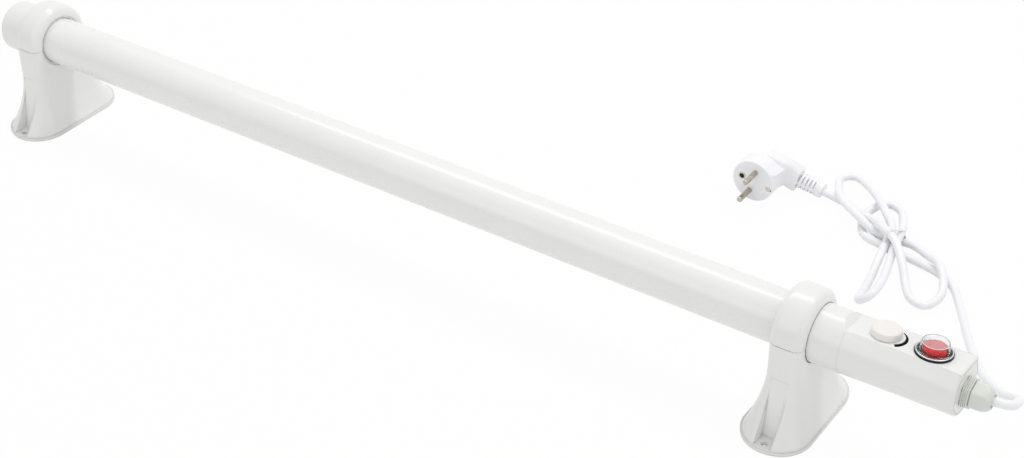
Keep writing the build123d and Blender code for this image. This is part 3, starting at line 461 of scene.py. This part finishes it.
def make_range_mark():
    """Plain tapered arc beside the knob that shows which way it turns."""
    radius = 11.2
    centre = (3.5, -0.7)
    start = math.radians(-53)
    end = math.radians(62)
    half_width = 1.6
    narrowing = 0.8
    lift = 0.04
    thickness = 0.05
    steps = 28
    form = bmesh.new()
    edges = ([], [])
    for step in range(steps + 1):
        share = step / steps
        angle = start + (end - start) * share
        half = half_width * (1 - narrowing * share**1.5)
        for edge, reach in zip(edges, (radius - half, radius + half)):
            x = centre[0] + reach * math.cos(angle)
            y = centre[1] + reach * math.sin(angle)
            edge.append(form.verts.new((x * MM, y * MM, 0)))
    for step in range(steps):
        form.faces.new((edges[0][step], edges[1][step], edges[1][step + 1], edges[0][step + 1]))
    place = flat_frame(KNOB_X, FLAT_HEIGHT + lift)
    mark = add_piece("range_mark", form, place, INK)
    ink = mark.modifiers.new("ink", "SOLIDIFY")
    ink.thickness = thickness * MM


def make_switch():
    """Black foot and bright bead round a clear cap, and the red rocker inside it."""
    place = flat_frame(SWITCH_X)
    foot_bore = 11.2
    foot_radius = 13.7
    foot_height = 1.6
    low = FLAT_HEIGHT + foot_height
    foot_form = turned(ring_line(rounded_line([
        (foot_bore, FLAT_HEIGHT, 0), (foot_radius, FLAT_HEIGHT, 0),
        (foot_radius - 0.1, low - 0.2, 0.35), (12.0, low, 0.2), (foot_bore, low - 0.4, 0),
    ])))
    foot = add_piece("switch_foot", foot_form, place, BLACK)
    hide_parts("switch_ring")
    bead = turned(bead_line(12.5, low, 0.62, 16))
    add_piece("switch_bead", bead, place, RING)
    wall = 0.6
    cap_radius = 9.8
    root_radius = 10.35
    flange_radius = 11.6
    flange_low = low + 0.4
    top = low + 7.0
    cap_form = turned(ring_line(rounded_line([
        (cap_radius - 0.8, top, 0), (cap_radius, top, 0.7), (root_radius, low + 1.0, 0.4),
        (flange_radius, low + 0.9, 0.2), (flange_radius, flange_low, 0.2),
        (root_radius - wall, flange_low, 0), (cap_radius - 0.1 - wall, top - wall, 0),
    ])))
    cap = add_piece("switch_cap", cap_form, place, CLEAR)
    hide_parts("switch_cover")
    lid_radius = 9.5
    lid = turned(rounded_line([
        (0, top + 0.02, 0), (lid_radius, top + 0.02, 0.25),
        (lid_radius, top - wall, 0.25), (0, top - wall, 0),
    ]))
    add_piece("switch_cap_top", lid, place, HAZE)
    # painted highlight: an opaque white bead round the cap's top edge stands in for the bright
    # reflection along it
    edge = turned(bead_line(lid_radius + 0.05, top - 0.2, 0.24, 10))
    add_piece("switch_cap_edge_highlight", edge, place, TIE)
    add_rocker()


def add_rocker():
    """Round rocker with a dished top, tilted about its pins."""
    radius = 8.7
    top = 7.0
    stem_radius = 4.1
    stem_foot = -3.5
    rim = -1.5
    dish = 0.9
    dished_from = top - 1.2
    pin_depth = 0.8
    rest_tilt = math.radians(-7)
    form = turned(rounded_line([
        (0, stem_foot, 0), (stem_radius, stem_foot, 0.5), (radius, rim, 0.5),
        (radius - 0.7, top, 1.0), (radius / 2, top, 0), (radius / 4, top, 0), (0, top, 0),
    ]), 72)
    for vert in form.verts:
        if vert.co.z > dished_from * MM:
            vert.co.z -= dish * MM * (1 - (vert.co.x / (radius * MM)) ** 2)
    place = flat_frame(SWITCH_X, FLAT_HEIGHT - pin_depth) @ Matrix.Rotation(rest_tilt, 4, "Y")
    rocker = add_piece("rocker_button", form, place, ROCKER, "rocker", sharp=60)
    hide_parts("switch_rocker")


def make_gland():
    """Threaded gland body with a grooved hexagon, and the dome nut that closes on the cord.

    Profile points are radius, place along the tube and share of a hexagon."""
    bore = 3.7
    thread_start = 433.0
    thread_core = 7.2
    thread_radius = 7.8
    thread_pitch = 1.5
    hexagon_start = 441.0
    half_flats = 10.8
    groove = half_flats - 0.75
    groove_pitch = 1.3
    neck_start = 446.8
    neck_radius = 7.0
    neck_end = 454.8
    profile = [(bore, thread_start, 0)]
    for turn in range(5):
        low = thread_start + 0.3 + thread_pitch * turn
        profile += [
            (thread_core, low, 0), (thread_radius, low + 0.5, 0),
            (thread_radius, low + 0.8, 0), (thread_core, low + 1.3, 0),
        ]
    profile.append((thread_radius, hexagon_start, 0))
    for ridge in range(4):
        low = hexagon_start + 0.8 + groove_pitch * ridge
        profile += [
            (groove, low, 1), (half_flats, low + 0.12, 1),
            (half_flats, low + 0.76, 1), (groove, low + 0.88, 1),
        ]
    profile += [(neck_radius, neck_start, 0), (neck_radius, neck_end, 0), (bore, neck_end, 0)]
    place = along_frame(0, GLAND_HEIGHT)
    hexagon = turned(ring_line(profile), 144)
    body = add_piece("gland_hexagon", hexagon, place, GLAND, sharp=20)
    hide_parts("gland_body")
    dome = turned(ring_line([
        (7.1, neck_start, 0), (8.9, 446.9, 1), (9.6, 447.6, 1), (9.6, 453.6, 1),
        (9.5, 454.8, 0.95), (9.2, 456.2, 0.8), (8.75, 457.5, 0.55), (8.1, 458.8, 0.3),
        (7.3, 459.9, 0.1), (6.3, 460.7, 0), (5.6, 461.0, 0), (5.0, 460.8, 0),
        (4.7, 459.9, 0), (bore, 459.6, 0), (bore, 459.0, 0), (7.1, 459.0, 0),
    ]), 144)
    nut = add_piece("gland_dome", dome, place, GLAND, sharp=20)
    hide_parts("gland_dome_nut")


def make_seams():
    """Painted shade: thin dark grey plates in the parting line of each clamp, and a dark grey
    crescent between sleeve and ring, stand in for the shade in these gaps.
    """
    inner_edge = 22.6
    outer_edge = 31.04
    corner = 7.5
    half_gap = 0.14
    for name, shade_name in (("left_clamp_cap", "left_seam_shade"), ("right_clamp_cap", "right_seam_shade")):
        low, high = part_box(name)
        parting = low.z / MM
        middle = (low.x + high.x) / 2 / MM
        half = (high.x - low.x) / 2 / MM
        plates = []
        for side in (-1, 1):
            outline = rounded_line([
                (middle - half, side * inner_edge, 0), (middle - half, side * outer_edge, corner),
                (middle + half, side * outer_edge, corner), (middle + half, side * inner_edge, 0),
            ])
            plates.append(prism(outline, parting - half_gap, parting + half_gap, 0))
        # painted shade in the clamp's parting line
        add_piece(shade_name, joined(plates), Matrix.Identity(4), PAINTED_SHADE)
    sleeve_radius = 21.7
    ring_radius = 22.7
    depth = 1.0
    proud = 0.06
    off_centre = Matrix.Translation((0, -0.2 * MM, -0.15 * MM))
    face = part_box("right_clamp_cap")[1].x / MM
    # painted shade: a dark ring, off centre, where the sleeve enters the ring
    crescent = turned(ring_line(rectangle(sleeve_radius, -depth, ring_radius, proud)))
    place = off_centre @ along_frame(face, AXIS_HEIGHT)
    add_piece("sleeve_gap_shade", crescent, place, PAINTED_SHADE)


# Plug frame: X along the cable, Y into the plug from its face, Z up its face
PLUG_RADIUS = 18.75
PLUG_ROLL = math.radians(13)
PLUG_PLACE = (0.164, 0.221, PLUG_RADIUS * MM)
PLUG_FRAME = Matrix.Translation(PLUG_PLACE) @ Matrix.Rotation(PLUG_ROLL, 4, "Y")


def rounded_section(along, low, high, half_height, corner, middle):
    """Rounded rectangle across the plug's cable, from low to high in depth."""
    line = rounded_line([
        (low, middle - half_height, corner), (high, middle - half_height, corner),
        (high, middle + half_height, corner), (low, middle + half_height, corner),
    ], 6)
    return [(along, point.x, point.y) for point in line]


def lofted(sections):
    """Closed form through sections with as many points each."""
    form = bmesh.new()
    rings = []
    for section in sections:
        rings.append([form.verts.new([value * MM for value in point]) for point in section])
    join_rings(form, rings)
    form.faces.new(rings[0])
    form.faces.new(rings[-1])
    bmesh.ops.recalc_face_normals(form, faces=form.faces)
    return form


def merged(forms, voxel, smooth):
    """One moulded mesh from overlapping forms, its inner corners filled by a voxel remesh."""
    whole = joined(forms)
    mesh = bpy.data.meshes.new("blank")
    whole.to_mesh(mesh)
    whole.free()
    blank = bpy.data.objects.new("blank", mesh)
    bpy.context.scene.collection.objects.link(blank)
    remesh = blank.modifiers.new("remesh", "REMESH")
    remesh.mode = "VOXEL"
    remesh.voxel_size = voxel * MM
    rounder = blank.modifiers.new("rounder", "SMOOTH")
    rounder.factor = 0.5
    rounder.iterations = smooth
    lighter = blank.modifiers.new("lighter", "DECIMATE")
    lighter.ratio = 0.35
    depsgraph = bpy.context.evaluated_depsgraph_get()
    result = bpy.data.meshes.new_from_object(blank.evaluated_get(depsgraph))
    bpy.data.objects.remove(blank)
    bpy.data.meshes.remove(mesh)
    form = bmesh.new()
    form.from_mesh(result)
    bpy.data.meshes.remove(result)
    return form


def make_plug():
    """Moulded plug: a round disc, a shoulder that narrows to the cable, and a spine on its back."""
    disc_depth = 18.5
    disc = turned(rounded_line([
        (0, 0, 0), (PLUG_RADIUS, 0, 0.9), (PLUG_RADIUS, disc_depth, 3.0), (0, disc_depth, 0),
    ]), 128)
    disc.transform(Matrix.Rotation(-math.pi / 2, 4, "X"))
    shoulder = lofted([
        rounded_section(-6.0, 0.2, 24.0, 15.0, 3.0, 1.0),
        rounded_section(4.0, 0.2, 26.5, 16.2, 2.0, 1.2),
        rounded_section(10.0, 0.2, 28.5, 15.2, 2.0, 0.8),
        rounded_section(14.0, 0.4, 30.5, 13.5, 2.0, 1.0),
        rounded_section(16.0, 4.0, 32.0, 11.5, 2.5, 2.3),
        rounded_section(17.5, 17.0, 33.0, 10.0, 3.0, 3.0),
        rounded_section(19.5, 22.0, 34.5, 9.4, 3.0, 2.9),
        rounded_section(23.0, 23.0, 37.0, 9.9, 3.5, 1.4),
        rounded_section(28.5, 24.0, 38.5, 9.6, 4.0, 0.4),
    ])
    spine = lofted([
        rounded_section(0.0, 15.0, 27.0, 16.2, 2.5, 4.2),
        rounded_section(8.0, 16.0, 29.5, 15.8, 2.5, 3.8),
        rounded_section(15.0, 18.0, 32.0, 13.5, 3.0, 4.5),
        rounded_section(20.0, 22.0, 34.5, 10.5, 3.5, 5.5),
        rounded_section(25.0, 24.0, 37.0, 10.2, 4.0, 3.2),
        rounded_section(28.5, 24.5, 38.0, 9.7, 4.0, 1.7),
    ])
    shell = merged([disc, shoulder, spine], voxel=0.4, smooth=3)
    body = add_piece("plug_shell", shell, PLUG_FRAME, CORD, sharp=180)
    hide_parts("plug_body", "plug_insert")
    return [body] + make_plug_contacts()


def make_plug_contacts():
    """Rimmed earth hole in the plug's face with a black disc in it as painted shade, and the
    earthing clip beside it with a thin dark plate as painted shade.
    """
    low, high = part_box("earth_socket")
    middle = (low + high) / 2
    face = PLUG_FRAME.translation.y
    place = Matrix.Translation((middle.x, face, middle.z)) @ Matrix.Rotation(-math.pi / 2, 4, "X")
    bore = 2.2
    rim = turned(ring_line(rounded_line([
        (bore, -0.5, 0.2), (bore + 1.0, -0.5, 0.3), (bore + 1.3, 1.0, 0), (bore, 1.0, 0),
    ], 3)))
    # painted shade: a black disc fills the earth hole
    opening_shade = turned(rectangle(0, -0.2, bore + 0.1, 0.9))
    clip_reach = 14.7
    clip = prism(rectangle(clip_reach - 1.8, -1.3, clip_reach + 1.8, 2.3), -1.0, 0.35, 0.25)
    # painted shade: a thin dark plate on the face beside the clip
    slot_shade = prism(rectangle(clip_reach + 2.2, -0.4, clip_reach + 3.3, 1.4), -1.0, 0.12, 0)
    on_face = PLUG_FRAME @ Matrix.Rotation(math.pi / 2, 4, "X")
    return [
        add_piece("earth_rim", rim, place, BRASS),
        add_piece("earth_opening_shade", opening_shade, place, BLACK),
        add_piece("clip_face", clip, on_face, BRASS),
        add_piece("clip_slot_shade", slot_shade, on_face, PAINTED_SHADE),
    ]


def make_relief():
    """Strain relief: rings on a core, four webs between them, and a plain collar at its end."""
    start = 27.5
    length = 23.0
    end = start + length
    collar = 5.0
    core_radius = 3.7
    rows = 5
    first_gap = 1.2
    pitch = (length - collar - first_gap) / rows
    ring_share = 0.64
    ring_radius = 7.0
    taper = 0.12
    forms = [turned(rectangle(0, start, core_radius, end - 1), 40)]
    for row in range(rows):
        low = start + first_gap + (row + 1 - ring_share) * pitch
        high = low + ring_share * pitch
        reach = ring_radius - taper * row
        forms.append(turned(rounded_line([
            (0, low, 0), (reach, low, 0.5), (reach, high, 0.5), (0, high, 0),
        ]), 56))
    forms.append(turned(rounded_line([
        (0, end - collar, 0), (6.9, end - collar, 0.5), (6.7, end, 1.4), (0, end, 0),
    ]), 56))
    web_low = 3.0
    web_high = 6.5
    web_half = 1.2
    for turn in range(4):
        web = prism(rectangle(web_low, -web_half, web_high, web_half), start - 1, end - 1, 0)
        web.transform(Matrix.Rotation(turn * math.pi / 2, 4, "Z"))
        forms.append(web)
    form = joined(forms)
    form.transform(Matrix.Rotation(math.pi / 2, 4, "Y"))
    depth = 32.2
    lean = 2.3
    rise = 0.5
    for vert in form.verts:
        share = max(0.0, (vert.co.x / MM - start) / length)
        vert.co.y += (depth + lean * share) * MM
        vert.co.z += rise * MM
    relief = add_piece("cord_relief", form, PLUG_FRAME, CORD, sharp=35)
    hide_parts("strain_relief")
    return relief


# Tie: its plane stands on the floor at TIE_PLACE, its X turned by TIE_TURN from the world's
TIE_PLACE = (0.2948, 0.2200)
TIE_TURN = math.radians(70)
TIE_REACH = 0.024


def strands_in_tie(curve):
    """Places across the tie's plane where the cord runs through it."""
    path = bpy.data.objects.new("path", curve)
    mesh = bpy.data.meshes.new_from_object(path)
    points = [vert.co.copy() for vert in mesh.vertices]
    bpy.data.objects.remove(path)
    bpy.data.meshes.remove(mesh)
    across = Vector((math.cos(TIE_TURN), math.sin(TIE_TURN), 0))
    along = Vector((across.y, -across.x, 0))
    centre = Vector((*TIE_PLACE, 0))
    places = []
    for first, second in zip(points, points[1:]):
        start = (first - centre).dot(along)
        end = (second - centre).dot(along)
        if start * end <= 0 and start != end:
            crossing = first.lerp(second, start / (start - end)) - centre
            if abs(crossing.dot(across)) < TIE_REACH:
                places.append(Vector((crossing.dot(across), crossing.z)))
    return places


def make_tie(curve):
    """Thin flat strip drawn tight round the strands of the hank."""
    gap = 0.1 * MM
    half_thickness = 0.4 * MM
    half_width = 1.5 * MM
    corner = 0.3 * MM
    steps = 24
    reach = CORD_DIAMETER / 2 + gap + half_thickness
    dots = []
    for place in strands_in_tie(curve):
        for step in range(steps):
            angle = 2 * math.pi * step / steps
            height = max(place.y + reach * math.sin(angle), half_thickness + gap)
            dots.append(Vector((place.x + reach * math.cos(angle), height)))
    outline = [dots[index] for index in convex_hull_2d(dots)]
    section = rounded_line([
        (-half_thickness, -half_width, corner), (half_thickness, -half_width, corner),
        (half_thickness, half_width, corner), (-half_thickness, half_width, corner),
    ], 2)
    form = bmesh.new()
    rings = []
    for index, point in enumerate(outline):
        along = (outline[(index + 1) % len(outline)] - outline[index - 1]).normalized()
        outward = Vector((along.y, -along.x))
        ring = []
        for depth, width in section:
            place = point + outward * depth
            ring.append(form.verts.new((place.x, place.y, width)))
        rings.append(ring)
    join_rings(form, rings + rings[:1])
    bmesh.ops.recalc_face_normals(form, faces=form.faces)
    upright = Matrix.Rotation(math.pi / 2, 4, "X")
    place = Matrix.Translation((*TIE_PLACE, 0)) @ Matrix.Rotation(TIE_TURN, 4, "Z") @ upright
    tie = add_piece("tie_strip", form, place, TIE)
    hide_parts("cord_tie")
    return tie


def make_cord(pieces_on_it):
    """The whole cord, one smooth line through the free stretch, the tied hank and the tail."""
    curve = bpy.data.curves.new("mains_cord", "CURVE")
    curve.dimensions = "3D"
    curve.resolution_u = 10
    line = curve.splines.new("NURBS")
    line.points.add(len(CORD_ROUTE) - 1)
    for point, place in zip(line.points, CORD_ROUTE):
        point.co = (*place, 1.0)
    line.order_u = 3
    line.use_endpoint_u = True
    line.use_smooth = True
    tie = make_tie(curve)
    curve.bevel_depth = CORD_DIAMETER / 2
    curve.bevel_resolution = 8
    curve.use_fill_caps = True
    cord = bpy.data.objects.new("mains_cord", curve)
    bpy.context.scene.collection.objects.link(cord)
    curve.materials.append(CORD)
    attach(cord, "heater")
    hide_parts("power_cord", "cord_hank", "cord_tail")


def seen_rays(tree, operation):
    """Value for rays of the camera, of gloss and of glass, put together by operation."""
    path = tree.nodes.new("ShaderNodeLightPath")
    value = path.outputs["Is Camera Ray"]
    for ray in ("Is Glossy Ray", "Is Transmission Ray"):
        node = tree.nodes.new("ShaderNodeMath")
        node.operation = operation
        tree.links.new(value, node.inputs[0])
        tree.links.new(path.outputs[ray], node.inputs[1])
        value = node.outputs[0]
    return value


def stage_material(name, white):
    """White that the camera, gloss and glass see, over a plain surface that takes the light."""
    material = bpy.data.materials.new(name)
    material.use_nodes = True
    tree = material.node_tree
    principled = tree.nodes["Principled BSDF"]
    principled.inputs["Base Color"].default_value = (0.82, 0.82, 0.82, 1)
    principled.inputs["Roughness"].default_value = 0.9
    glow = tree.nodes.new("ShaderNodeEmission")
    glow.inputs["Strength"].default_value = 1.0
    share = tree.nodes.new("ShaderNodeMath")
    share.operation = "MULTIPLY"
    share.inputs[1].default_value = white
    mix = tree.nodes.new("ShaderNodeMixShader")
    tree.links.new(seen_rays(tree, "ADD"), share.inputs[0])
    tree.links.new(share.outputs[0], mix.inputs["Fac"])
    tree.links.new(principled.outputs[0], mix.inputs[1])
    tree.links.new(glow.outputs[0], mix.inputs[2])
    tree.links.new(mix.outputs[0], tree.nodes["Material Output"].inputs["Surface"])
    return material


def make_floor():
    """Wide plain floor under the feet."""
    reach = 6.0
    below_feet = 0.0002
    form = bmesh.new()
    bmesh.ops.create_grid(form, x_segments=8, y_segments=8, size=reach)
    mesh = bpy.data.meshes.new("floor")
    form.to_mesh(mesh)
    form.free()
    floor = bpy.data.objects.new("floor", mesh)
    floor.location.z = -below_feet
    bpy.context.scene.collection.objects.link(floor)
    mesh.materials.append(stage_material("floor_white", white=0.965))


def make_world(light):
    """White surroundings, dimmer as a light than as they look."""
    world = bpy.data.worlds.new("world")
    world.use_nodes = True
    bpy.context.scene.world = world
    tree = world.node_tree
    background = tree.nodes["Background"]
    background.inputs["Color"].default_value = (1, 1, 1, 1)
    level = tree.nodes.new("ShaderNodeMapRange")
    level.inputs["To Min"].default_value = light
    level.inputs["To Max"].default_value = 1.0
    tree.links.new(seen_rays(tree, "MAXIMUM"), level.inputs["Value"])
    tree.links.new(level.outputs["Result"], background.inputs["Strength"])


def add_lamp(name, place, target, width, depth, watts):
    """Rectangular soft lamp that faces a target."""
    data = bpy.data.lights.new(name, "AREA")
    data.shape = "RECTANGLE"
    data.size = width
    data.size_y = depth
    data.energy = watts
    lamp = bpy.data.objects.new(name, data)
    lamp.location = place
    lamp.rotation_euler = (Vector(target) - Vector(place)).to_track_quat("-Z", "Y").to_euler()
    bpy.context.scene.collection.objects.link(lamp)


def light_scene():
    """White surroundings, a long lamp overhead and weaker ones in front and to the right."""
    make_world(light=0.67)
    add_lamp("overhead", (0.0, 0.6, 1.5), (0.0, 0.0, 0.0), 2.4, 0.22, 11.0)
    add_lamp("front", (-0.3, -1.6, 0.9), (0.0, 0.0, 0.06), 1.6, 0.8, 3.2)
    add_lamp("side", (1.7, -0.4, 0.6), (0.2, 0.0, 0.06), 1.2, 0.8, 1.9)


place_camera()
dress_nodes()
make_knob()
make_range_mark()
make_switch()
make_gland()
make_seams()
make_cord(make_plug() + [make_relief()])
make_floor()
light_scene()

scene = bpy.context.scene
scene.view_settings.view_transform = "Standard"
